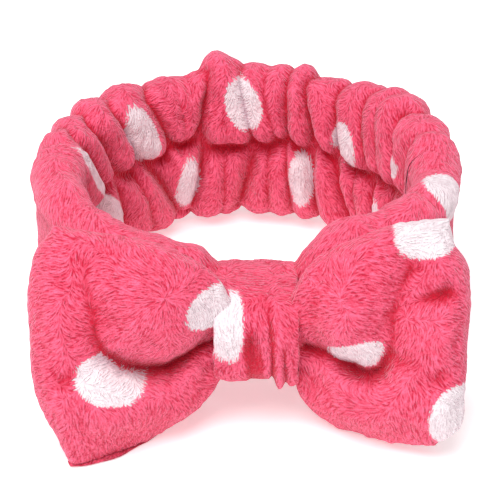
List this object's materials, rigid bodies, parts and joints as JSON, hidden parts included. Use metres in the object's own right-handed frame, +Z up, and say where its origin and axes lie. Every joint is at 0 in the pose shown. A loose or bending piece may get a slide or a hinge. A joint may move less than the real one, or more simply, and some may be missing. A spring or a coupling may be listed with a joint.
{
  "type": "spa headband",
  "caption": "Elastic fleece spa headband with a gathered back half and a soft two-lobed bow held to the front by a knot strip.",
  "frame": {"origin": "middle of the outline in plan, on the surface that the band stands on", "axes": "+Z up through the head opening, -Y towards the bow, +X to the right seen from the bow side"},
  "size_m": [0.189, 0.2052, 0.096],
  "materials": {
    "fleece": "deep-pile pink fleece with white spots",
    "elastic": "woven ribbed elastic",
    "thread": "matt sewing thread"
  },
  "bodies": {
    "root": {"front_sleeve": "fleece", "elastic_tack_left": "thread", "elastic_tack_right": "thread", "side_seam_left": "thread", "side_seam_right": "thread", "front_sleeve_seam": "thread", "bow_waist": "fleece", "waist_thread": "thread", "knot_wrap": "fleece", "knot_wrap_seam": "thread"},
    "back_half": {"back_sleeve": "fleece", "elastic_strip": "elastic", "back_sleeve_seam": "thread"},
    "left_lobe": {"left_lobe_front_panel": "fleece", "left_lobe_back_panel": "fleece", "left_lobe_edge_seam": "thread"},
    "right_lobe": {"right_lobe_front_panel": "fleece", "right_lobe_back_panel": "fleece", "right_lobe_edge_seam": "thread"}
  },
  "joints": [
    {"name": "band_stretch", "type": "slide", "parent": "root", "child": "back_half", "axis": [0, 1, 0], "range_m": [0, 0.065], "stiffness_N_per_m": 80},
    {"name": "left_lobe_flex", "type": "hinge", "parent": "root", "child": "left_lobe", "pos_m": [-0.02, -0.07193, 0.044], "axis": [0, 0, 1], "range_deg": [0, 40], "stiffness_Nm_per_rad": 0.05},
    {"name": "right_lobe_flex", "type": "hinge", "parent": "root", "child": "right_lobe", "pos_m": [0.032, -0.07193, 0.044], "axis": [0, 0, -1], "range_deg": [0, 40], "stiffness_Nm_per_rad": 0.05}
  ]
}
